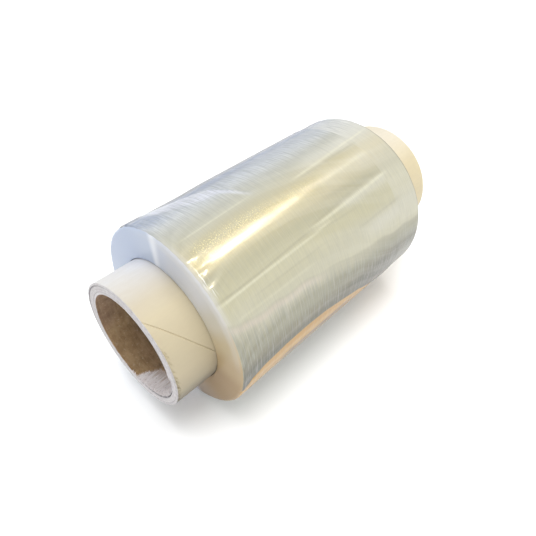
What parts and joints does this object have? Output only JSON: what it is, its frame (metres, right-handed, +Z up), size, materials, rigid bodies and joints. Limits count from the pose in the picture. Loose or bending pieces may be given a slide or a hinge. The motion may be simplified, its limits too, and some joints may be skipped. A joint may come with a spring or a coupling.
{
  "type": "stretch wrap roll",
  "caption": "Roll of clear stretch wrap film on a spiral-wound paperboard core that stands out of both ends, lying on its side on a small flat spot.",
  "frame": {"origin": "on the floor, under the middle of the core, which is the bottom centre of the whole roll's box", "axes": "+X along the roll's axis from the torn near mouth to the far mouth, +Z up from the flat spot, -Y the front, where the film's free edge lies"},
  "size_m": [0.137, 0.07, 0.0696],
  "materials": {
    "paperboard": "matte kraft paperboard with a smoother pale outer ply, brown in the bore, torn and fibrous at one mouth",
    "stretch_film": "glossy, milky translucent wound film with fine lines round the roll and soft wrinkles"
  },
  "bodies": {
    "root": {"core_tube": "paperboard", "film_roll": "stretch_film"}
  },
  "joints": []
}
